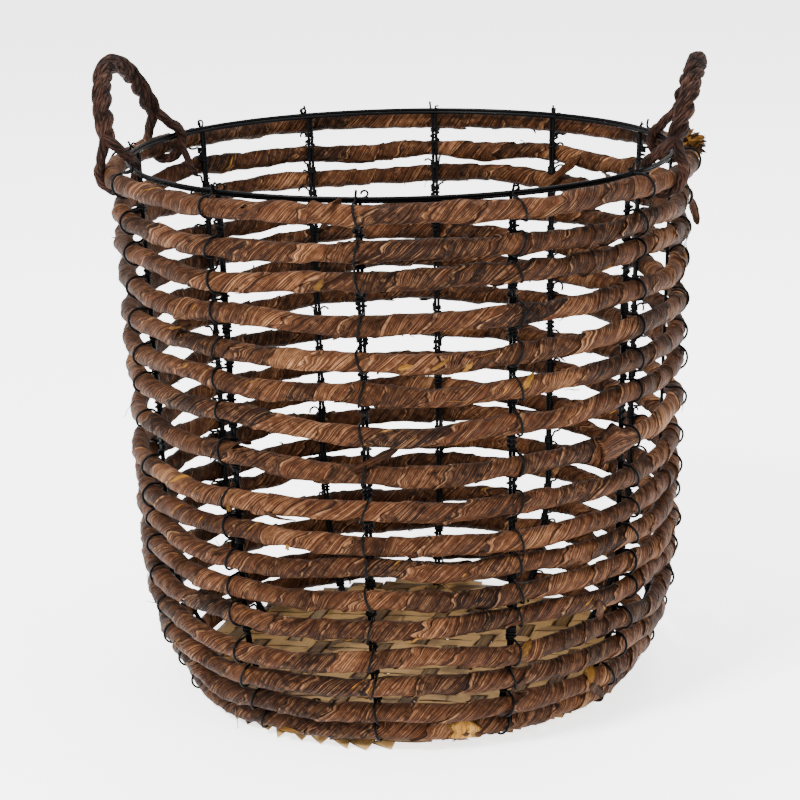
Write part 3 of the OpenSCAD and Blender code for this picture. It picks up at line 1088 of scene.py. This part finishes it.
@dataclass
class PlaitedMat:
    """The base mat: two sets of flat strips plaited two over, two under.

    Attributes:
        pitch: Distance from strip to strip.
        strip_w: Mean width of a strip of the lower set and of the upper set.
        strip_t: Thickness of a strip.
        wave: How far a strip rises and falls in the plait.
        station: Distance between points along a strip.
        skew: Turn of the upper set away from square to the lower set, in degrees.
        uneven: How much wider or narrower than the mean the strips of the upper set are, by turns.
    """

    pitch: float = 13.0
    strip_w: tuple[float, float] = (14.2, 13.4)
    strip_t: float = 0.62
    wave: float = 0.52
    station: float = 3.25
    skew: float = -9.0
    uneven: float = 2.0

    def __post_init__(self) -> None:
        """Takes the mat's radius and level from the CAD strips."""
        low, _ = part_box("mat_strips_lower")
        _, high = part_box("mat_strips_upper")
        self.radius = high[0] / MM
        self.level = (low[2] + high[2]) / 2 / MM

    def strips(self, upper: bool) -> Surface:
        """One set of strips, cut to the round of the base.

        The height of a strip is level + wave * tanh(3 sin(half a turn every two pitches)), shifted by one
        strip from each strip to the next, and turned over for the other set.

        Args:
            upper: The set that runs from front to back, rather than from side to side.

        Returns:
            All its strips.
        """
        rng = np.random.default_rng(31 + upper)
        made = []
        c, s = math.cos(math.radians(self.skew)), math.sin(math.radians(self.skew))
        count = int(self.radius / self.pitch)
        for k in range(-count, count + 1):
            offset = k * self.pitch + rng.normal(0, 0.5)
            reach = math.sqrt(max(self.radius**2 - offset**2, 400.0))
            ends = reach + rng.uniform(-3.0, 1.5, 2)
            t = np.arange(-ends[0], ends[1], self.station)
            sway = rng.normal(0, 0.6) * np.sin(t / 60 + rng.uniform(0, 6)) + rng.normal(0, 0.004) * t
            sign = -1 if upper else 1
            side = offset + sway
            x, y = (side * c - t * s, side * s + t * c) if upper else (t, side)
            crossed = y if upper else x * c + y * s
            beat = np.pi * (crossed / self.pitch + (-k if upper else k)) / 2 + 0.25 * np.pi
            rise = sign * self.wave * np.tanh(3 * np.sin(beat))
            path = np.stack([x, y, self.level + rise], 1)
            extra = (self.uneven if k % 2 else -self.uneven) if upper else 0.0
            width = np.full(len(t), self.strip_w[upper] * rng.uniform(0.97, 1.03) + extra)
            face = np.broadcast_to(np.array([0.0, 0.0, 1.0]), path.shape)
            number = 100 + (k + count) + 80 * upper
            made.append(ribbon(path, face, width, self.strip_t, t / GRAIN, number))
        return Surface.join(made)

    def folded_ends(self) -> Surface:
        """Strip ends folded to points that show below the front left of the base coil.

        Returns:
            All the folded ends, each a ribbon that narrows to its tip.
        """
        rng = np.random.default_rng(17)
        made = []
        first, last, step = 226.0, 274.0, 5.6
        for k, angle in enumerate(np.radians(np.arange(first, last, step))):
            s = np.linspace(0, 1, 9)
            skew = rng.uniform(0.02, 0.05) * s
            reach = self.radius - 6 + rng.uniform(9.5, 15.5) * s
            height = self.level - 0.8 - rng.uniform(3.4, 4.6) * s**1.2
            path = np.stack([reach * np.cos(angle + skew), reach * np.sin(angle + skew), height], 1)
            face = np.stack([0.35 * np.cos(angle) + 0 * s, 0.35 * np.sin(angle) + 0 * s, 1 + 0 * s], 1)
            width = rng.uniform(15, 27) * (1 - 0.97 * s**1.25)
            made.append(ribbon(path, face, width, self.strip_t, s * 0.4, 400.0 + k))
        return Surface.join(made)

    def build(self, tan: bpy.types.Material, mixed: bpy.types.Material, pale: bpy.types.Material) -> None:
        """Makes the two sets of strips in place of the CAD ones, and the folded ends."""
        for name, upper, finish in (("lower", False, tan), ("upper", True, mixed)):
            piece = self.strips(upper).piece(f"plaited_strips_{name}", finish, Slot.BAMBOO, "basket")
            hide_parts(f"mat_strips_{name}")
        self.folded_ends().piece("folded_strip_ends", pale, Slot.BAMBOO, "basket")


# ---------------------------------------------------------------- handles


@dataclass
class RopeHandle:
    """One handle: a rope of twisted strands that divides at each foot and goes round the rim.

    Attributes:
        side: Left or right.
        pivot: Distance of the pivot line from the middle, and its height.
        foot_y: Distance from the middle of the handle to each foot.
        lean: Outward lean at rest, in degrees.
        top: Height of the rope's middle above the pivot line.
        strand_r: Radius of a strand.
        strand_offset: Distance of a strand's middle from the rope's.
        lay: Length of rope in which a strand goes once round.
        leg_start: Height above the pivot line at which the rope divides.
        eye_r: Radius of an eye, to the middle of its strands.
        eye_point: Distance from the middle of an eye to the point where its strands meet.
        eye_strand_r: Mean radius of a strand of the eye.
        eye_gap: Distance of each of the eye's two strands from the eye's middle plane.
    """

    side: Side
    pivot: tuple[float, float] = (205.5, 419.5)
    foot_y: float = 75.0
    lean: float = 17.0
    top: float = 75.0
    leg_start: float = 20.0
    strand_r: float = 4.3
    strand_offset: float = 3.3
    lay: float = 46.0
    eye_r: float = 14.4
    eye_point: float = 27.0
    eye_strand_r: float = 3.7
    eye_gap: float = 2.7

    def to_basket(self, w: np.ndarray, y: np.ndarray, h: np.ndarray) -> np.ndarray:
        """Places from the handle's own frame (out of its plane, along it, up it) in the basket's.

        x = pivot + h sin lean + w cos lean, z = pivot height + h cos lean - w sin lean. The left handle is
        the right one turned half round the basket.

        Args:
            w: Distances out of the handle's plane, away from the basket.
            y: Distances along the handle.
            h: Distances up it from the pivot line.

        Returns:
            Places in the basket's frame.
        """
        lean = math.radians(self.lean)
        x = self.side.value * (self.pivot[0] + h * math.sin(lean) + w * math.cos(lean))
        z = self.pivot[1] + h * math.cos(lean) - w * math.sin(lean)
        return np.stack(np.broadcast_arrays(x, self.side.value * np.asarray(y), z), -1)

    def rope_line(self, count: int) -> tuple[np.ndarray, np.ndarray]:
        """The rope's middle, one arc: up = sqrt(reach^2 - along^2) - drop, from foot to foot.

        Args:
            count: Points along the rope.

        Returns:
            Distances along the handle and up it.
        """
        drop = (self.foot_y**2 + self.leg_start**2 - self.top**2) / (2 * (self.top - self.leg_start))
        start = math.atan2(self.leg_start + drop, self.foot_y)
        t = np.linspace(start, np.pi - start, count)
        return (self.top + drop) * np.cos(t), (self.top + drop) * np.sin(t) - drop

    def strand(self, k: int, rng: np.random.Generator) -> Surface:
        """One of three strands: the rope's middle plus offset * (cos a, sin a), a turning with the lay.

        Args:
            k: The strand's number, from 0.
            rng: Seeded source of numbers.

        Returns:
            The strand.
        """
        y, h = self.rope_line(300)
        line = np.stack([0 * y, y, h], 1)
        direction = tangents(line)
        out = np.broadcast_to(np.array([1.0, 0.0, 0.0]), line.shape)
        inner = np.cross(direction, out)
        length = np.append(0, np.cumsum(np.linalg.norm(np.diff(line, axis=0), axis=1)))
        a = 2 * np.pi * (length / self.lay + k / 3) + 0.5 * np.sin(length / 31 + k)
        ease = np.clip(np.minimum(length, length[-1] - length) / 14, 0, 1)
        offset = self.strand_offset * (1 + 0.10 * np.sin(length / 13 + 2 * k)) * (0.55 + 0.45 * ease)
        spoke = np.cos(a)[:, None] * out + np.sin(a)[:, None] * inner
        path = line + offset[:, None] * spoke
        knobs = 0.05 * np.sin(length / 3.3 + 2.9 * k) * np.sin(length / 11 + k)
        knobs = 0.06 * np.sin(length / 9 + 1.7 * k) + knobs
        radius = self.strand_r * (1 + knobs) * (0.76 + 0.24 * ease)
        turn = np.linspace(0, 2 * np.pi, 20, endpoint=False)
        ply = turn + 1.2 * a[:, None]
        lobes = 1 + 0.07 * np.cos(3 * ply + k) + 0.045 * np.cos(7 * ply + 2 * k)
        lobes = lobes + 0.022 * rng.normal(0, 1, (300, 20))
        path = self.to_basket(path[:, 0], path[:, 1], path[:, 2])
        spoke = self.to_basket(spoke[:, 0], spoke[:, 1], spoke[:, 2]) - self.to_basket(0.0, 0.0, 0.0)
        return tube(path, spoke, radius, length / 12, 20, lobes=lobes)

    def eye(self, end: int, rng: np.random.Generator) -> list[Surface]:
        """The divided rope at one foot: two strands side by side round the rim, drawn up to a point.

        At angle t from the top the strand is radius / cos(max(point angle - |t|, 0)) from the middle of the
        eye: a round with two straight sides that meet at the point.

        Args:
            end: Which foot, -1 or 1.
            rng: Seeded source of numbers.

        Returns:
            The two strands.
        """
        point_angle = math.acos(self.eye_r / self.eye_point)
        t = np.linspace(0, 2 * np.pi, 96, endpoint=False)
        made = []
        for k, shift in enumerate((-self.eye_gap, self.eye_gap)):
            from_top = np.minimum(t, 2 * np.pi - t)
            reach = self.eye_r / np.cos(np.clip(point_angle - from_top, 0, None))
            reach = reach + 0.4 * np.sin(3 * t + k + end)
            y = end * self.foot_y + shift * (0.55 + 0.45 * np.sin(t / 2) ** 2) + 0.8 * np.sin(2 * t + k)
            path = self.to_basket(reach * np.sin(t), y, reach * np.cos(t))
            guide = np.broadcast_to(np.array([0.0, 1.0, 0.0]), path.shape)
            turn = np.linspace(0, 2 * np.pi, 14, endpoint=False)
            ply = turn + 3 * t[:, None]
            lobes = 1 + 0.10 * np.cos(3 * ply + k) + 0.02 * rng.normal(0, 1, (96, 14))
            radius = self.eye_strand_r + 0.3 * np.sin(4 * t + 2 * k)
            made.append(tube(path, guide, radius, np.linspace(0, 9, 96), 14, closed=True, lobes=lobes))
        return made

    def tails(self, end: int, rng: np.random.Generator) -> list[Surface]:
        """The cut ends of the strands, which hang inside the basket below the knot.

        Args:
            end: Which foot, -1 or 1.
            rng: Seeded source of numbers.

        Returns:
            The four cut ends.
        """
        made = []
        for _ in range(4):
            s = np.linspace(0, 1, 22)
            length = rng.uniform(16, 28)
            w = -13.5 - 4 * s + rng.normal(0, 1.5) * s
            h = -6.0 - length * s**1.1
            y = end * self.foot_y - end * (3 + rng.uniform(2, 12) * s) + rng.normal(0, 2) * np.sin(3 * s)
            path = self.to_basket(w, y, h)
            radius = 2.5 * (1 - 0.75 * s**3) + 0.2
            turn = np.linspace(0, 2 * np.pi, 10, endpoint=False)
            lobes = 1 + 0.12 * np.cos(2 * turn + 9 * s[:, None])
            guide = np.broadcast_to(np.array([0.0, 1.0, 0.0]), path.shape)
            made.append(tube(path, guide, radius, s * 2, 10, lobes=lobes))
        return made

    def build(self, finish: bpy.types.Material) -> None:
        """Makes the handle in place of its CAD loop."""
        rng = np.random.default_rng(50 + self.side.value)
        name = self.side.name.lower()
        parts = [self.strand(k, rng) for k in range(3)]
        for end in (-1, 1):
            parts += self.eye(end, rng)
        if self.side is Side.LEFT:
            parts += self.tails(-1, rng)
        piece = Surface.join(parts).piece(f"{name}_rope", finish, Slot.ROPE, f"{name}_handle")
        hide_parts(f"{name}_handle")


# ---------------------------------------------------------------- loose bark


@dataclass(frozen=True)
class Scrap:
    """One loose piece of bark on a coil.

    Attributes:
        coil: The coil's number.
        angle: Degrees round the basket from the right handle.
        face: Degrees up the coil's side from its outermost line.
        length: Its length.
        width: Its width.
        lift: How far its free end stands off.
        curl: How far it bends along its length, in degrees.
        slant: Its direction, in degrees from the coil's line.
        pale: Whether it shows the pale inner bark.
        cling: Length over which it follows the coil's round before it goes straight on.
        twist: How far it turns about its own length, in degrees.
        cup: How far its edges bend in round the coil; a cupped scrap has a blunt free end.
    """

    coil: int
    angle: float
    face: float
    length: float
    width: float
    lift: float
    curl: float = 40.0
    slant: float = 45.0
    pale: bool = False
    cling: float = 99.0
    twist: float = 0.0
    cup: float = 0.0


@dataclass
class LooseBark:
    """Torn strips, flakes and the frayed end of the rim coil.

    Attributes:
        wall: The coils that the pieces lie on.
        seed: Where the random numbers start.
        flakes: How many small pieces there are.
        hair_share: Share of them that are thin hairs.
        pale_share: Share of the others that show the inner bark.
    """

    CLEAR_OF_FLOOR = 0.2  # millimetres from the floor to the lowest scrap

    wall: BarkWall
    seed: int = 12
    flakes: int = 220
    hair_share: float = 0.2
    pale_share: float = 0.16

    def scraps(self) -> list[Scrap]:
        """The larger scraps, where a basket of this make shows them, and many small flakes."""
        rng = np.random.default_rng(self.seed)
        chosen = [
            Scrap(16, 2, 20, 30, 9, 3, 10, -80, cling=2, twist=80),
            Scrap(15, 350, 20, 22, 8, 7, 90, -60, cling=12),
            Scrap(16, 52, 150, 56, 8, 4, 20, 40, cling=5),
            Scrap(16, 44, 200, 26, 6, 3, 40, 60, cling=10),
            Scrap(10, 268, 35, 46, 9, 5, 20, 38, cling=8),
            Scrap(5, 318, 10, 30, 9, 4, 40, -60, cling=10),
            Scrap(2, 322, 0, 26, 7, 3, 20, -40, cling=6),
            Scrap(1, 285, -60, 22, 8, 2, 20, -20, cling=4),
            Scrap(1, 293, -60, 18, 6, 2, 20, 200, cling=4),
            Scrap(9, 247, -20, 34, 6, 3, 50, -20),
            Scrap(8, 292, -30, 24, 9, 9, 80, -70),
            Scrap(10, 331, 2, 46, 27, 3.0, 14, 183, cup=1.3),
            Scrap(12, 300, 0, 18, 5, 2, 30, 50, True),
            Scrap(15, 262, -40, 14, 5, 5, 40, 50, True),
            Scrap(2, 322, 20, 26, 9, 7, 120, 60, True),
            Scrap(1, 289.5, -62, 23, 22, 0.3, 4, 82, True),
            Scrap(4, 300, 0, 18, 7, 2, 30, 50, True),
            Scrap(10, 240, 20, 26, 12, 3, 50, 45),
            Scrap(13, 228, 15, 20, 9, 4, 60, 45),
            Scrap(17, 262, 0, 30, 18, 1.5, 60, 50),
        ]
        for _ in range(self.flakes):
            if rng.random() < self.hair_share:
                hair = rng.uniform(9, 24), rng.uniform(0.5, 0.9), rng.uniform(2, 7)
                spot = int(rng.integers(1, COILS - 1)), rng.uniform(0, 360), rng.uniform(-90, 90)
                heading, light, hold = rng.uniform(0, 360), rng.random() < 0.5, rng.uniform(3, 9)
                chosen.append(Scrap(*spot, *hair, 40, heading, light, hold))
                continue
            chosen.append(
                Scrap(
                    int(rng.integers(1, COILS + 1)),
                    rng.uniform(0, 360),
                    rng.uniform(-80, 80),
                    rng.uniform(6, 17),
                    rng.uniform(1.0, 4.5),
                    rng.uniform(0.6, 3.6),
                    rng.uniform(10, 80),
                    45 + rng.normal(0, 22) + 180 * rng.integers(0, 2),
                    rng.random() < self.pale_share,
                )
            )
        return [scrap for scrap in chosen if not self.in_the_way(scrap)]

    @staticmethod
    def in_the_way(scrap: Scrap) -> bool:
        """Whether a small scrap sits where a handle swings past: on the top two coils, near the handles.

        Args:
            scrap: The piece.

        Returns:
            Whether to leave it out. Pieces that hang free stay.
        """
        near_handle = abs(math.sin(math.radians(scrap.angle))) < 0.45
        lies_flat = scrap.cling > 50
        return scrap.coil >= COILS - 1 and near_handle and lies_flat

    def shape(self, scrap: Scrap, rng: np.random.Generator) -> Surface:
        """One scrap: a ribbon laid along its slant over the coil's round, its free end lifting off.

        It stands off by lift * s to the power 2.2, where s runs from 0 at its root to 1 at its free end.

        Args:
            scrap: The piece's place and size.
            rng: Seeded source of numbers.

        Returns:
            The closed ribbon.
        """
        coil = self.wall.coils[scrap.coil - 1]
        s = np.linspace(0, 1, 16)
        slant = math.radians(scrap.slant)
        run = scrap.length * s
        laid = np.minimum(run, scrap.cling)
        bend = math.radians(scrap.curl) * s**2
        angle = math.radians(scrap.angle) + laid * math.cos(slant) / coil.radius
        turn = math.radians(scrap.face) + laid * math.sin(slant) / (coil.tube + 2.5)
        radius, height = coil.centre(angle)
        stand = coil.tube + 0.8 + scrap.lift * s**2.2 + 0.4 * np.sin(9 * s + scrap.angle)
        reach = radius + stand * np.cos(turn)
        path = np.stack([reach * np.cos(angle), reach * np.sin(angle), height + stand * np.sin(turn)], 1)
        c, t = angle[-1], turn[-1]
        round_the_coil = np.array([-math.sin(t) * math.cos(c), -math.sin(t) * math.sin(c), math.cos(t)])
        onward = math.cos(slant) * np.array([-math.sin(c), math.cos(c), 0.0])
        onward = onward + math.sin(slant) * round_the_coil
        path = path + (run - laid)[:, None] * onward
        face = turn + bend
        away = np.stack([np.cos(face) * np.cos(angle), np.cos(face) * np.sin(angle), np.sin(face)], 1)
        twist = math.radians(scrap.twist) * s[:, None]
        away = away * np.cos(twist) + np.cross(tangents(path), away) * np.sin(twist)
        ragged = 1 + 0.14 * np.sin(13 * s + 3 * scrap.length) + rng.normal(0, 0.05, len(s))
        pointed = np.clip(1.15 - s**4, 0.12, 1) * np.clip(0.35 + 4 * s, 0, 1)
        blunt = np.clip(0.30 + 1.5 * s, 0, 1)
        width = scrap.width * ragged * (blunt if scrap.cup else pointed)
        made = ribbon(path, away, width, 0.5, run / GRAIN, float(rng.integers(2000, 2400)), scrap.cup)
        made.points[:, 2] = np.maximum(made.points[:, 2], self.CLEAR_OF_FLOOR)
        return made

    def frayed_end(self, seed: int, shreds: int) -> Surface:
        """The cut end of the rim coil by the right handle: pointed shreds that fan out from one place.

        Args:
            seed: Where its random numbers start.
            shreds: How many shreds.

        Returns:
            All the shreds.
        """
        rng = np.random.default_rng(seed)
        made = []
        coil = self.wall.coils[-1]
        for k in range(shreds):
            s = np.linspace(0, 1, 10)
            heading = rng.normal(0.45, 0.70)
            climb = rng.normal(0.20, 0.60)
            length = rng.uniform(7, 15)
            start = math.radians(9.5) + rng.normal(0, 0.022)
            spot = coil.radius + 3 + rng.normal(0, 3.0)
            level = coil.height + 6 + rng.normal(0, 4.0)
            root = np.array([spot * math.cos(start), spot * math.sin(start), level])
            aim = unit(np.array([math.cos(heading), -math.sin(heading) * 0.9, climb]))
            drift = np.cross(aim, np.array([0.0, 0.0, 1.0])) * rng.normal(0, 3)
            path = root + length * s[:, None] * aim + (s**2)[:, None] * drift
            face = np.broadcast_to(rng.normal(0, 1, 3), path.shape)
            width = rng.uniform(3.0, 7.5) * np.clip(1.05 - s**5, 0.05, 1)
            made.append(ribbon(path, face, width, 0.7, s * length / GRAIN, float(2500 + k)))
        return Surface.join(made)

    def build(self, bark: bpy.types.Material, pale: bpy.types.Material) -> None:
        """Makes the brown scraps, the pale scraps and the frayed end."""
        rng = np.random.default_rng(self.seed + 1)
        scraps = self.scraps()
        for name, finish, wanted in (("loose_bark", bark, False), ("loose_inner_bark", pale, True)):
            shapes = [self.shape(s, rng) for s in scraps if s.pale == wanted]
            Surface.join(shapes).piece(name, finish, Slot.BARK, "basket")
        self.frayed_end(88, 30).piece("frayed_end", pale, Slot.BARK, "basket")
        self.frayed_end(89, 22).piece("frayed_end_brown", bark, Slot.BARK, "basket")


# ---------------------------------------------------------------- frame and studio


@dataclass
class WireFrame:
    """The CAD wires that stay as they are: rim, staves, base ring and base bars."""

    def build(self, finish: bpy.types.Material) -> None:
        """Gives every kept CAD wire its finish."""
        kept = ["rim_wire_upper", "rim_wire_lower", "base_ring"]
        kept += ["base_bar_upper_front", "base_bar_upper_back", "base_bar_lower_left", "base_bar_lower_right"]
        kept += [f"stave_{k:02d}" for k in range(1, STAVES + 1)]
        for name in kept:
            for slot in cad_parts[name].material_slots:
                slot.material = finish
        log.info("wire frame: %d CAD wires dressed", len(kept))


@dataclass(frozen=True)
class Studio:
    """A pale floor, soft lights and the camera.

    Attributes:
        eye: The camera's place, in metres.
        heading: Degrees that the camera looks to the left of the +Y axis.
        pitch: Degrees that it looks down.
        roll: Degrees that it is turned about its own line of sight.
        lens: Focal length in millimetres.
    """

    eye: tuple[float, float, float] = (0.250, -1.725, 0.706)
    heading: float = 8.4
    pitch: float = 15.49
    roll: float = -1.32
    lens: float = 101.9

    def camera(self) -> None:
        """Sets up the camera."""
        turn, pitch = math.radians(self.heading), math.radians(self.pitch)
        right = Vector((math.cos(turn), math.sin(turn), 0))
        ahead = Vector((-math.sin(turn), math.cos(turn), 0))
        look = ahead * math.cos(pitch) - Vector((0, 0, math.sin(pitch)))
        up = right.cross(look)
        stand = Matrix((right, up, -look)).transposed().to_4x4()
        data = bpy.data.cameras.new("camera")
        data.lens = self.lens
        data.sensor_width = 36.0
        data.clip_end = 60.0
        camera = bpy.data.objects.new("camera", data)
        camera.matrix_world = (
            Matrix.Translation(Vector(self.eye)) @ stand @ Matrix.Rotation(math.radians(self.roll), 4, "Z")
        )
        bpy.context.scene.collection.objects.link(camera)
        bpy.context.scene.camera = camera

    def light(self, name: str, place: tuple[float, float, float], size: float, watts: float) -> None:
        """One square soft light aimed at the middle of the basket.

        Args:
            name: The light's name.
            place: Its place, in metres.
            size: Its side, in metres.
            watts: Its power.
        """
        data = bpy.data.lights.new(name, "AREA")
        data.size = size
        data.energy = watts
        lamp = bpy.data.objects.new(name, data)
        aim = Vector((0, 0, 0.22)) - Vector(place)
        turn = aim.to_track_quat("-Z", "Y").to_matrix().to_4x4()
        lamp.matrix_world = Matrix.Translation(Vector(place)) @ turn
        bpy.context.scene.collection.objects.link(lamp)

    def floor(self) -> None:
        """A wide pale floor, a grid of one cell."""
        half = 14.0
        mesh = bpy.data.meshes.new("floor")
        corners = [(-half, -half, 0), (half, -half, 0), (half, half, 0), (-half, half, 0)]
        mesh.from_pydata(corners, [], [(0, 1, 2, 3)])
        floor = bpy.data.objects.new("floor", mesh)
        bpy.context.scene.collection.objects.link(floor)
        b = Bench("floor")
        white = (1.0, 1.0, 1.0, 1.0)
        finish = b.dress(
            Base_Color=(0.94, 0.94, 0.94, 1.0),
            Roughness=0.9,
            Specular_IOR_Level=0.1,
            Emission_Color=white,
            Emission_Strength=2.2,
        )
        mesh.materials.append(finish)

    def build(self) -> None:
        """Sets up the whole studio."""
        self.camera()
        self.floor()
        self.light("key", (-1.5, -2.2, 2.9), 0.9, 330.0)
        self.light("fill", (2.6, -1.9, 1.7), 1.8, 90.0)
        self.light("top", (0.0, 0.9, 3.0), 2.4, 110.0)
        world = bpy.data.worlds.new("studio")
        world.use_nodes = True
        background = world.node_tree.nodes["Background"]
        background.inputs[0].default_value = (1.0, 1.0, 1.0, 1.0)
        background.inputs[1].default_value = 1.5
        bpy.context.scene.world = world


def main() -> None:
    """Builds the basket's looks round the CAD frame, then the studio."""
    logging.basicConfig(level=logging.INFO, format="%(message)s")
    bark = BarkFinish().build()
    pale = BarkFinish(
        "inner_bark",
        dark=(0.04, 0.014, 0.003),
        middle=(0.17, 0.075, 0.014),
        light=(0.5, 0.30, 0.09),
        fleck=0.6,
    ).build()
    wall = BarkWall()
    wall.build(bark)
    WireFrame().build(WireFinish("frame_wire").build())
    TieLashing(wall).build(WireFinish("tie_wire", roughness=0.42).build())
    PlaitedMat().build(
        BambooFinish().build(),
        BambooFinish("bark_and_bamboo", odd_brown=0.9).build(),
        BambooFinish("pale_bamboo", tan=(0.36, 0.22, 0.085)).build(),
    )
    rope = RopeFinish().build()
    for side in Side:
        RopeHandle(side).build(rope)
    LooseBark(wall).build(bark, pale)
    Studio().build()


if __name__ == "__main__":
    main()
